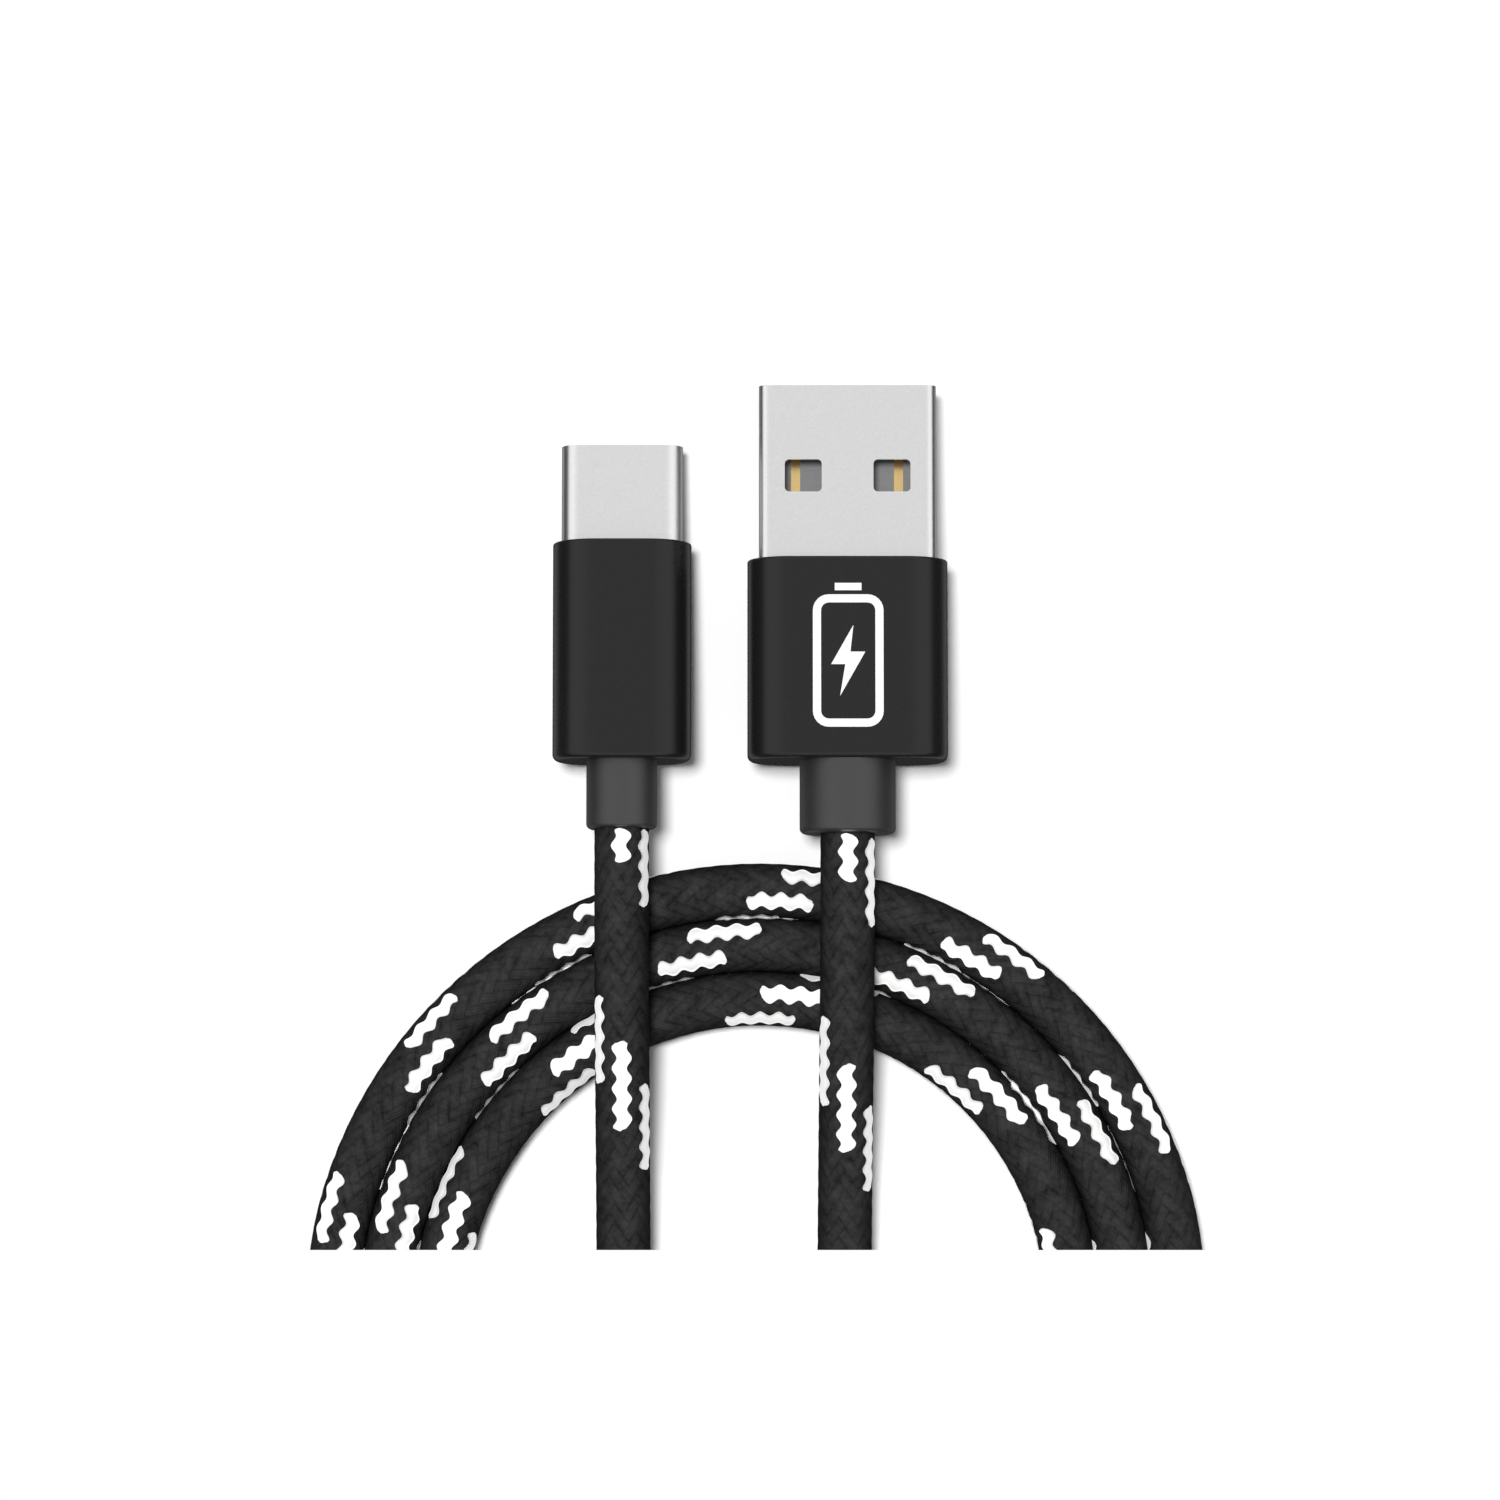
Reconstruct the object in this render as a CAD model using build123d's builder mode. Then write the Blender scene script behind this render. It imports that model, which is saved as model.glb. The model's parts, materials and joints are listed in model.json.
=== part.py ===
from build123d import *
import os
from math import cos, pi, radians, sin, tan

# Charging cable: a USB-A plug and a USB-C plug on one metre of round braided cord, laid in a flat oval coil.
# Millimetres, +Z up. Both plugs point along +Y. The origin lies on the surface, under the middle of the plugs.

# ---- Cord
cord_diameter = 3.7
wire_diameter = 0.8
wire_bend = 0.6
bundle_offset = 0.48  # the four wires stand on a square of twice this
lying = 1.86  # height of the centre line where the cord lies flat

# ---- Where the plugs lie
plug_pitch = 15.28
usb_a_front_y = 3.39  # front face of the housing
usb_c_front_y = 4.62
usb_a_tilt = 5.5  # degrees nose down: the cord behind the plug lies across the coil and lifts its tail
usb_c_tilt = 6.3

# ---- USB-A plug
a_shell_width, a_shell_height, a_shell_wall = 12.0, 4.5, 0.3
a_shell_reach, a_shell_inside = 11.8, 6.0  # in front of the housing, and inside it
a_shell_corner, a_seam_width, a_seam_depth = 0.7, 0.12, 0.1
a_window_width, a_window_length, a_window_x, a_window_reach = 2.5, 2.2, 3.0, 5.63
a_window_corner = 0.3
a_housing_width, a_housing_height, a_housing_length = 13.56, 7.0, 13.6
a_housing_corner, a_housing_wall = 2.9, 0.45
a_relief_diameter, a_relief_length = 6.5, 4.9
a_neck_diameter, a_flange_diameter = 5.2, 5.7
a_tongue_width, a_tongue_top = 10.8, -0.05
a_tongue_recess = 0.45  # from the shell's mouth to the tongue's tip
a_tongue_stop, a_insulator_inside = -3.0, 5.5
a_contact_width, a_shank_width, a_contact_height, a_contact_proud = 1.0, 0.62, 0.25, 0.03
a_contact_x, a_contact_reach = (-3.5, -1.0, 1.0, 3.5), (10.9, 9.9, 9.9, 10.9)
a_pad_end = 7.1  # in front of the housing: behind this the contact narrows to its shank
a_tail_end, a_solder_length = 7.3, 0.6
a_stub_start = 10.7

# ---- USB-C plug
c_shell_width, c_shell_height, c_shell_wall = 8.25, 2.4, 0.2
c_shell_reach, c_shell_inside = 6.65, 4.2
c_housing_width, c_housing_height, c_housing_length = 9.4, 6.0, 14.85
c_housing_corner, c_housing_wall = 2.95, 0.5
c_relief_diameter, c_relief_length = 4.8, 4.6
c_neck_diameter, c_flange_diameter = 4.3, 4.7
c_insulator_reach, c_insulator_inside = 6.1, 3.6
c_slot_width, c_slot_height, c_slot_stop = 6.9, 0.9, -0.8
c_contact_count, c_contact_pitch, c_contact_width, c_contact_height = 12, 0.5, 0.25, 0.16
c_contact_recess = 1.2  # from the shell's mouth to the tips of the contact beams
c_ground_width, c_ground_height, c_ground_gap = 5.9, 0.15, 0.1
c_board_width, c_board_height, c_board_start, c_board_length = 7.4, 0.6, 4.0, 6.0
c_resistor_start, c_resistor_x = 6.4, 2.6
c_resistor_length, c_resistor_width, c_resistor_height = 1.0, 0.5, 0.35
c_solder_start, c_solder_end, c_solder_x = 7.6, 10.3, 1.2
c_tail_end = 5.6
c_stub_start = 11.9
latch_inner, latch_outer, latch_tip, latch_root = 3.42, 3.60, 5.4, -2.6
latch_hook, latch_hook_front, latch_hook_back, latch_half_height = 3.18, 0.4, 0.9, 0.25
channel_x, channel_width, channel_height, channel_front, channel_end = 3.54, 0.92, 0.72, 0.4, 2.9
emi_width, emi_height, emi_y, emi_front, emi_end = 5.0, 0.1, 0.9, 0.6, -2.5
emi_slit_x, emi_slit_width, emi_slit_end = 0.85, 0.3, -3.2
pocket_width, pocket_height, pocket_y, pocket_front, pocket_end = 5.3, 0.3, 0.97, 0.4, -2.3

# ---- Both plugs
rear_wall = 0.8
flange_length = 0.6
mould_recess = 0.2
housing_front_edge, housing_rear_edge = 0.15, 0.45
relief_end_edge = 0.35
clamp_wall, clamp_length, clamp_gap, clamp_setback = 0.3, 1.0, 0.9, 0.2
mould_clearance = 0.1
slack = 0.02

# ---- Coil
coil_x, coil_top_y, coil_straight = 1.25, -47.9, 44.0
coil_outer_top, coil_outer_bottom = 30.95, 32.4
coil_inner_top, coil_inner_bottom = 19.4, 18.0
coil_edge = 1.75

# Half the width of the whole row of plugs decides where each one stands
usb_a_x = (plug_pitch + c_housing_width / 2 - a_housing_width / 2) / 2
usb_c_x = usb_a_x - plug_pitch


def plug_plane(x, front_y, housing_height, tilt):
    """The frame of one plug: x to the right, y up through it, z back along its axis, from the housing's front.
    The plug stands on the lower front edge of its housing with its nose down."""
    c, s = cos(radians(tilt)), sin(radians(tilt))
    height = housing_height / 2 * c - housing_front_edge * (c + s - 1)
    return Plane(origin=(x, front_y, height), x_dir=(1, 0, 0), z_dir=(0, -c, s))


def plan_plane(plane):
    """The same origin, for outlines seen from above the plug: x to the right, y forward towards its nose."""
    return Plane(origin=plane.origin, x_dir=plane.x_dir, z_dir=plane.y_dir)


usb_a = plug_plane(usb_a_x, usb_a_front_y, a_housing_height, usb_a_tilt)
usb_c = plug_plane(usb_c_x, usb_c_front_y, c_housing_height, usb_c_tilt)
usb_a_plan = plan_plane(usb_a)
usb_c_plan = plan_plane(usb_c)
a_end = a_housing_length + a_relief_length
c_end = c_housing_length + c_relief_length


def bar(plane, start, end, width, height, x=0.0, y=0.0, corner=0.0, mode=Mode.ADD):
    """A bar along the plug, with square or rounded corners, in the part that is being made."""
    with BuildSketch(plane.offset(start)) as section:
        with Locations((x, y)):
            if corner:
                RectangleRounded(width, height, corner)
            else:
                Rectangle(width, height)
    extrude(section.sketch, amount=end - start, mode=mode)


def racetrack(plane, start, end, width, height, mode=Mode.ADD):
    """A bar with half-round sides."""
    with BuildSketch(plane.offset(start)) as section:
        SlotOverall(width, height)
    extrude(section.sketch, amount=end - start, mode=mode)


def rod(plane, start, end, diameter, x=0.0, y=0.0, mode=Mode.ADD):
    """A round bar along the plug."""
    with BuildSketch(plane.offset(start)) as section:
        with Locations((x, y)):
            Circle(diameter / 2)
    extrude(section.sketch, amount=end - start, mode=mode)


def housing(plane, width, height, length, corner, wall, neck_diameter):
    """A drawn sleeve, open at the front, with a bore in its rear wall for the neck of the strain relief."""
    with BuildPart() as sleeve:
        bar(plane, 0, length, width, height, corner=corner)
        along = Axis(plane.origin, plane.z_dir)
        ends = sleeve.faces().filter_by(GeomType.PLANE).sort_by(along)
        fillet(ends[-1].edges(), housing_rear_edge)
        front = sleeve.faces().filter_by(GeomType.PLANE).sort_by(along)[0]
        fillet(front.edges(), housing_front_edge)
        bar(plane, 0, length - rear_wall, width - 2 * wall, height - 2 * wall, corner=corner - wall,
            mode=Mode.SUBTRACT)
        rod(plane, length - rear_wall, length, neck_diameter, mode=Mode.SUBTRACT)
    return sleeve


def strain_relief(plane, length, end, diameter, neck_diameter, flange_diameter):
    """A soft sleeve on the cord with a neck through the housing's rear wall and a flange inside it."""
    with BuildPart() as sleeve:
        rod(plane, length, end, diameter)
        rear = sleeve.faces().filter_by(GeomType.PLANE).sort_by(Axis(plane.origin, plane.z_dir))[-1]
        fillet(rear.edges(), relief_end_edge)
        rod(plane, length - rear_wall, length, neck_diameter)
        rod(plane, length - rear_wall - flange_length, length - rear_wall, flange_diameter)
        rod(plane, length - rear_wall - flange_length, end, cord_diameter, mode=Mode.SUBTRACT)
    return sleeve


def wire(plane, points):
    """One insulated wire through points of the plug's own frame."""
    with BuildPart() as core:
        with BuildLine() as path:
            FilletPolyline(*[plane.from_local_coords(point) for point in points], radius=wire_bend)
        with BuildSketch(Plane(origin=path.line @ 0, z_dir=path.line % 0)):
            Circle(wire_diameter / 2)
        sweep()
    return core


def cable_end(plane, start, end, wires):
    """The end of the jacket, gripped by the clamp and the strain relief, around the four wires."""
    with BuildPart() as jacket:
        rod(plane, start, end, cord_diameter)
        for core in wires:
            add(core.part, mode=Mode.SUBTRACT)
    return jacket


def cable_clamp(plane, start):
    """A crimped band around the end of the jacket, open along the top."""
    with BuildPart() as band:
        rod(plane, start, start + clamp_length, cord_diameter + 2 * clamp_wall)
        rod(plane, start, start + clamp_length, cord_diameter, mode=Mode.SUBTRACT)
        bar(plane, start, start + clamp_length, clamp_gap, cord_diameter, y=cord_diameter / 2,
            mode=Mode.SUBTRACT)
    return band


# ==== USB-A plug ====

with BuildPart() as usb_a_shell:
    bar(usb_a, -a_shell_reach, a_shell_inside, a_shell_width, a_shell_height, corner=a_shell_corner)
    bar(usb_a, -a_shell_reach, a_shell_inside, a_shell_width - 2 * a_shell_wall,
        a_shell_height - 2 * a_shell_wall, corner=a_shell_corner - a_shell_wall, mode=Mode.SUBTRACT)
    with BuildSketch(usb_a_plan) as windows:
        with Locations((-a_window_x, a_window_reach), (a_window_x, a_window_reach)):
            RectangleRounded(a_window_width, a_window_length, a_window_corner)
    extrude(windows.sketch, amount=a_shell_height, both=True, mode=Mode.SUBTRACT)
    # The folded seam shows as a shallow groove along the underside
    bar(usb_a, -a_shell_reach, a_shell_inside, a_seam_width, 2 * a_seam_depth, y=-a_shell_height / 2,
        mode=Mode.SUBTRACT)

# Each contact is a wide pad near the tip of the tongue and a narrow shank behind it
a_contact_y = a_tongue_top + a_contact_proud - a_contact_height / 2
usb_a_contacts = []
for contact_x, reach in zip(a_contact_x, a_contact_reach):
    with BuildPart() as contact:
        bar(usb_a, -reach, -a_pad_end, a_contact_width, a_contact_height, x=contact_x, y=a_contact_y)
        bar(usb_a, -a_pad_end, a_tail_end, a_shank_width, a_contact_height, x=contact_x, y=a_contact_y)
    usb_a_contacts.append(contact)
usb_a_contact_vbus, usb_a_contact_d_minus, usb_a_contact_d_plus, usb_a_contact_ground = usb_a_contacts

with BuildPart() as usb_a_insulator:
    tongue_height = a_shell_height / 2 - a_shell_wall - slack + a_tongue_top
    bar(usb_a, a_tongue_recess - a_shell_reach, a_insulator_inside, a_tongue_width, tongue_height,
        y=a_tongue_top - tongue_height / 2)
    stop_height = a_shell_height - 2 * a_shell_wall - 2 * slack
    bar(usb_a, a_tongue_stop, a_insulator_inside, a_tongue_width, stop_height)
    for contact in usb_a_contacts:
        add(contact.part, mode=Mode.SUBTRACT)

a_bundle = [(-bundle_offset, bundle_offset), (-bundle_offset, -bundle_offset), (bundle_offset, -bundle_offset),
            (bundle_offset, bundle_offset)]
usb_a_wires = []
for contact_x, (wire_x, wire_y) in zip(a_contact_x, a_bundle):
    usb_a_wires.append(wire(usb_a, [(contact_x, a_contact_y, a_tail_end),
                                    (contact_x, a_contact_y, a_tail_end + a_solder_length),
                                    (wire_x, wire_y, a_stub_start - 0.5), (wire_x, wire_y, a_end)]))
usb_a_wire_red, usb_a_wire_white, usb_a_wire_green, usb_a_wire_black = usb_a_wires

usb_a_cable_end = cable_end(usb_a, a_stub_start, a_end, usb_a_wires)
usb_a_cable_clamp = cable_clamp(usb_a, a_stub_start + clamp_setback)
usb_a_housing = housing(usb_a, a_housing_width, a_housing_height, a_housing_length, a_housing_corner,
                        a_housing_wall, a_neck_diameter)
usb_a_strain_relief = strain_relief(usb_a, a_housing_length, a_end, a_relief_diameter, a_neck_diameter,
                                    a_flange_diameter)

with BuildPart() as usb_a_inner_mould:
    bar(usb_a, mould_recess, a_housing_length - rear_wall, a_housing_width - 2 * a_housing_wall,
        a_housing_height - 2 * a_housing_wall, corner=a_housing_corner - a_housing_wall)
    bar(usb_a, 0, a_insulator_inside, a_shell_width - 2 * mould_clearance, a_shell_height - 2 * mould_clearance,
        mode=Mode.SUBTRACT)
    rod(usb_a, a_housing_length - rear_wall - flange_length, a_housing_length, a_flange_diameter,
        mode=Mode.SUBTRACT)
    for held in [usb_a_shell, usb_a_insulator, *usb_a_contacts, *usb_a_wires, usb_a_cable_end,
                 usb_a_cable_clamp]:
        add(held.part, mode=Mode.SUBTRACT)

# ==== USB-C plug ====

with BuildPart() as usb_c_shell:
    racetrack(usb_c, -c_shell_reach, c_shell_inside, c_shell_width, c_shell_height)
    racetrack(usb_c, -c_shell_reach, c_shell_inside, c_shell_width - 2 * c_shell_wall,
              c_shell_height - 2 * c_shell_wall, mode=Mode.SUBTRACT)

contact_y = c_board_height / 2 + c_contact_height / 2


def contact_row(side):
    """One row of contact beams, over the tongue for side 1 and under it for side -1."""
    with BuildPart() as row:
        for i in range(c_contact_count):
            x = (i - (c_contact_count - 1) / 2) * c_contact_pitch
            bar(usb_c, c_contact_recess - c_shell_reach, c_tail_end, c_contact_width, c_contact_height, x=x,
                y=side * contact_y)
    return row


usb_c_contacts_upper = contact_row(1)
usb_c_contacts_lower = contact_row(-1)

with BuildPart() as usb_c_ground_plate:
    bar(usb_c, c_slot_stop + 2 * c_ground_gap, c_board_start - c_ground_gap, c_ground_width, c_ground_height)


def latch(side):
    """A sprung side latch: a flat arm with a hook at its tip that reaches into the slot."""
    with BuildPart() as arm:
        with BuildSketch(usb_c_plan) as outline:
            with BuildLine():
                Polyline((side * latch_inner, latch_root), (side * latch_outer, latch_root),
                         (side * latch_outer, latch_tip), (side * latch_inner, latch_tip),
                         (side * latch_hook, latch_tip - latch_hook_front),
                         (side * latch_inner, latch_tip - latch_hook_back), close=True)
            make_face()
        extrude(outline.sketch, amount=latch_half_height, both=True)
    return arm


usb_c_latch_left = latch(-1)
usb_c_latch_right = latch(1)


def emi_spring(side):
    """A thin sprung pad with three fingers that lies in a pocket of the insulator, against the shell."""
    with BuildPart() as pad:
        bar(usb_c, emi_front - c_insulator_reach, emi_end, emi_width, emi_height, y=side * emi_y)
        for x in (-emi_slit_x, emi_slit_x):
            bar(usb_c, emi_front - c_insulator_reach, emi_slit_end, emi_slit_width, emi_height, x=x,
                y=side * emi_y, mode=Mode.SUBTRACT)
    return pad


usb_c_emi_spring_upper = emi_spring(1)
usb_c_emi_spring_lower = emi_spring(-1)

with BuildPart() as usb_c_insulator:
    racetrack(usb_c, -c_insulator_reach, c_insulator_inside, c_shell_width - 2 * c_shell_wall - 2 * slack,
              c_shell_height - 2 * c_shell_wall - 2 * slack)
    bar(usb_c, -c_insulator_reach, c_slot_stop, c_slot_width, c_slot_height, mode=Mode.SUBTRACT)
    for side in (-1, 1):
        # Channel of a latch, open to the shell, and pocket of an EMI spring
        bar(usb_c, channel_front - c_insulator_reach, channel_end, channel_width, channel_height,
            x=side * channel_x, mode=Mode.SUBTRACT)
        bar(usb_c, pocket_front - c_insulator_reach, pocket_end, pocket_width, pocket_height,
            y=side * pocket_y, mode=Mode.SUBTRACT)
    for held in (usb_c_contacts_upper, usb_c_contacts_lower, usb_c_ground_plate):
        add(held.part, mode=Mode.SUBTRACT)

with BuildPart() as usb_c_circuit_board:
    bar(usb_c, c_board_start, c_board_start + c_board_length, c_board_width, c_board_height)

with BuildPart() as usb_c_resistor:
    bar(usb_c, c_resistor_start, c_resistor_start + c_resistor_length, c_resistor_width, c_resistor_height,
        x=c_resistor_x, y=c_board_height / 2 + c_resistor_height / 2)

wire_y = c_board_height / 2 + wire_diameter / 2
usb_c_wires = []
for side_x, side_y in ((-1, 1), (-1, -1), (1, -1), (1, 1)):
    usb_c_wires.append(wire(usb_c, [(side_x * c_solder_x, side_y * wire_y, c_solder_start),
                                    (side_x * c_solder_x, side_y * wire_y, c_solder_end),
                                    (side_x * bundle_offset, side_y * bundle_offset, c_stub_start - 0.3),
                                    (side_x * bundle_offset, side_y * bundle_offset, c_end)]))
usb_c_wire_red, usb_c_wire_white, usb_c_wire_green, usb_c_wire_black = usb_c_wires

usb_c_cable_end = cable_end(usb_c, c_stub_start, c_end, usb_c_wires)
usb_c_cable_clamp = cable_clamp(usb_c, c_stub_start + clamp_setback)
usb_c_housing = housing(usb_c, c_housing_width, c_housing_height, c_housing_length, c_housing_corner,
                        c_housing_wall, c_neck_diameter)
usb_c_strain_relief = strain_relief(usb_c, c_housing_length, c_end, c_relief_diameter, c_neck_diameter,
                                    c_flange_diameter)

with BuildPart() as usb_c_inner_mould:
    bar(usb_c, mould_recess, c_housing_length - rear_wall, c_housing_width - 2 * c_housing_wall,
        c_housing_height - 2 * c_housing_wall, corner=c_housing_corner - c_housing_wall)
    racetrack(usb_c, 0, c_shell_inside, c_shell_width, c_shell_height, mode=Mode.SUBTRACT)
    rod(usb_c, c_housing_length - rear_wall - flange_length, c_housing_length, c_flange_diameter,
        mode=Mode.SUBTRACT)
    for held in [usb_c_contacts_upper, usb_c_contacts_lower, usb_c_circuit_board, usb_c_resistor, *usb_c_wires,
                 usb_c_cable_end, usb_c_cable_clamp]:
        add(held.part, mode=Mode.SUBTRACT)

# ==== Cord ====

# Each lead leaves its plug, passes over the three turns at the top of the coil in one long low hump, and lies
# down inside the coil. The USB-A lead then passes over the turns again at the bottom and becomes the outermost
# turn. The USB-C lead becomes the innermost one.
lead_a_route = [
    usb_a.from_local_coords((0, 0, a_end)),
    usb_a.from_local_coords((0, 0, a_end + 5.4)),
    (6.52, -29.8, 5.85),
    (6.45, -39.2, 3.5),
    (6.4, -50.0, lying),
    (6.3, -64.0, lying),
    (6.4, -78.0, lying),
    (6.5, -89.0, 1.9),
    (6.7, -98.5, 4.1),
    (6.6, -107.3, 5.8),
    (2.7, -114.5, 5.85),
    (-4.4, -118.65, 5.8),
    (-12.7, -118.65, 4.6),
    (-19.75, -114.7, 2.2),
]
lead_c_route = [
    usb_c.from_local_coords((0, 0, c_end)),
    usb_c.from_local_coords((0, 0, c_end + 6.2)),
    (-8.62, -31.0, 5.85),
    (-8.6, -40.4, 3.5),
    (-8.6, -51.0, lying),
    (-8.7, -65.0, lying),
    (-8.6, -79.0, lying),
    (-8.5, -91.0, lying),
    (-8.6, -101.5, lying),
    (-5.1, -107.4, lying),
    (0.85, -110.8, lying),
    (7.65, -110.9, lying),
    (13.05, -108.4, lying),
]


def corner_radii(points):
    """The largest arc that each corner's two runs leave room for."""
    points = [Vector(point) for point in points]
    radii = []
    for before, here, after in zip(points, points[1:], points[2:]):
        turn = radians((here - before).get_angle(after - here))
        radii.append(0.45 * min((here - before).length, (after - here).length) / tan(turn / 2))
    return radii


def lead(name, route):
    """A round tube of straight runs and tangent arcs along a lead's route."""
    radii = corner_radii(route)
    with BuildPart() as tube:
        with BuildLine() as path:
            FilletPolyline(*route, radius=radii)
        with BuildSketch(Plane(origin=path.line @ 0, z_dir=path.line % 0)):
            Circle(cord_diameter / 2)
        sweep()
    length = path.wire().length
    section = pi * cord_diameter**2 / 4
    print(name, "radii", " ".join(f"{radius:.0f}" for radius in radii))
    print(name, f"length {length:.1f} mm, volume {tube.part.volume:.1f} of {section * length:.1f} mm3")
    return tube


cable_lead_a = lead("cable_lead_a", lead_a_route)
cable_lead_c = lead("cable_lead_c", lead_c_route)

with BuildPart() as cable_coil:
    with BuildSketch() as coil_outline:
        with Locations((coil_x, coil_top_y)):
            Circle(coil_outer_top)
        with Locations((coil_x, coil_top_y - coil_straight)):
            Circle(coil_outer_bottom)
        make_hull()
    extrude(amount=cord_diameter)
    fillet(cable_coil.faces().filter_by(Axis.Z).edges(), coil_edge)
    with BuildSketch() as coil_hole:
        with Locations((coil_x, coil_top_y)):
            Circle(coil_inner_top)
        with Locations((coil_x, coil_top_y - coil_straight)):
            Circle(coil_inner_bottom)
        make_hull()
    extrude(amount=cord_diameter, mode=Mode.SUBTRACT)

# ==== Write each piece ====

pieces = {
    "usb_a_shell": usb_a_shell,
    "usb_a_insulator": usb_a_insulator,
    "usb_a_contact_vbus": usb_a_contact_vbus,
    "usb_a_contact_d_minus": usb_a_contact_d_minus,
    "usb_a_contact_d_plus": usb_a_contact_d_plus,
    "usb_a_contact_ground": usb_a_contact_ground,
    "usb_a_inner_mould": usb_a_inner_mould,
    "usb_a_housing": usb_a_housing,
    "usb_a_strain_relief": usb_a_strain_relief,
    "usb_a_cable_clamp": usb_a_cable_clamp,
    "usb_a_cable_end": usb_a_cable_end,
    "usb_a_wire_red": usb_a_wire_red,
    "usb_a_wire_white": usb_a_wire_white,
    "usb_a_wire_green": usb_a_wire_green,
    "usb_a_wire_black": usb_a_wire_black,
    "usb_c_shell": usb_c_shell,
    "usb_c_insulator": usb_c_insulator,
    "usb_c_contacts_upper": usb_c_contacts_upper,
    "usb_c_contacts_lower": usb_c_contacts_lower,
    "usb_c_ground_plate": usb_c_ground_plate,
    "usb_c_latch_left": usb_c_latch_left,
    "usb_c_latch_right": usb_c_latch_right,
    "usb_c_emi_spring_upper": usb_c_emi_spring_upper,
    "usb_c_emi_spring_lower": usb_c_emi_spring_lower,
    "usb_c_circuit_board": usb_c_circuit_board,
    "usb_c_resistor": usb_c_resistor,
    "usb_c_inner_mould": usb_c_inner_mould,
    "usb_c_housing": usb_c_housing,
    "usb_c_strain_relief": usb_c_strain_relief,
    "usb_c_cable_clamp": usb_c_cable_clamp,
    "usb_c_cable_end": usb_c_cable_end,
    "usb_c_wire_red": usb_c_wire_red,
    "usb_c_wire_white": usb_c_wire_white,
    "usb_c_wire_green": usb_c_wire_green,
    "usb_c_wire_black": usb_c_wire_black,
    "cable_lead_a": cable_lead_a,
    "cable_lead_c": cable_lead_c,
    "cable_coil": cable_coil,
}

os.makedirs("parts", exist_ok=True)
for name, piece in pieces.items():
    piece.part.label = name
    export_step(piece.part, f"parts/{name}.step")
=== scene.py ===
import json
import math

import bmesh
import bpy
import numpy as np
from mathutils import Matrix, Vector


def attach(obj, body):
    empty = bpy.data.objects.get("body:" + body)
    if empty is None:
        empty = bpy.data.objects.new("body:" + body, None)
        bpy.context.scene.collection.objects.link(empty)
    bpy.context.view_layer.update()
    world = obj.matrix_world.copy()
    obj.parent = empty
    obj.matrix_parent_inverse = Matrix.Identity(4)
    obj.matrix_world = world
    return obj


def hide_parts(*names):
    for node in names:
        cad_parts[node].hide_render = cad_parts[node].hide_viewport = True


# Looks of the charging cable: the braided cord with its white flecks, the two plugs' finishes, a printed
# mark, and a plain white studio seen from straight above.

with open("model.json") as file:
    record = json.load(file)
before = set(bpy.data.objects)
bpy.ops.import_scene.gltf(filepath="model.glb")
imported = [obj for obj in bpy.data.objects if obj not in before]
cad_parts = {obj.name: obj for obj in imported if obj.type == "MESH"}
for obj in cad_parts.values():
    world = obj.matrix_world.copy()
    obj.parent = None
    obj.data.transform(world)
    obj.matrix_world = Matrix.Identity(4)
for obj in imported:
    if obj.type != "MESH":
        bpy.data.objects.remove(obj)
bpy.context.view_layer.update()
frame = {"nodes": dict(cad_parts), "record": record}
nodes = frame["nodes"]
MM = 0.001

# ---- Camera

# In metres
CAMERA_HEIGHT = 0.4
PLUG_MIDDLE = 0.004  # height of the plugs' middles
VIEW_WIDTH = 0.1017  # of the square picture, at that height
VIEW_CENTRE_Y = -0.00936
SENSOR = 36.0  # width, in mm


def make_camera():
    """Straight above the plugs, with +Y up in the picture."""
    camera = bpy.data.objects.new("camera", bpy.data.cameras.new("camera"))
    bpy.context.scene.collection.objects.link(camera)
    camera.location = (0.0, VIEW_CENTRE_Y, CAMERA_HEIGHT)
    camera.data.sensor_width = SENSOR
    camera.data.lens = SENSOR * (CAMERA_HEIGHT - PLUG_MIDDLE) / VIEW_WIDTH
    camera.data.clip_start = 0.001
    bpy.context.scene.camera = camera


# ---- Cord

CORD_DIAMETER = 3.7 * MM
CORD_RADIUS = CORD_DIAMETER / 2
LIE = 1.86  # height of the centre line where the cord lies on the floor, in mm

# Stretches outside the coil, in mm, from each plug to the coil
LEAD_A = [
    (6.6, -15.025, 5.243),
    (6.6, -20.4, 5.761),
    (6.52, -29.8, 5.85),
    (6.45, -39.2, 3.5),
    (6.4, -50.0, LIE),
    (6.3, -64.0, LIE),
    (6.4, -78.0, LIE),
    (6.5, -89.0, 1.9),
    (6.7, -98.5, 4.1),
    (6.6, -107.3, 5.8),
    (2.7, -114.5, 5.85),
    (-4.4, -118.65, 5.8),
    (-12.7, -118.65, 4.6),
    (-19.75, -114.7, 2.2),
]
LEAD_C = [
    (-8.68, -14.713, 5.101),
    (-8.68, -20.875, 5.781),
    (-8.62, -31.0, 5.85),
    (-8.6, -40.4, 3.5),
    (-8.6, -51.0, LIE),
    (-8.7, -65.0, LIE),
    (-8.6, -79.0, LIE),
    (-8.5, -91.0, LIE),
    (-8.6, -101.5, LIE),
    (-5.1, -107.4, LIE),
    (0.85, -110.8, LIE),
    (7.65, -110.9, LIE),
]

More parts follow.
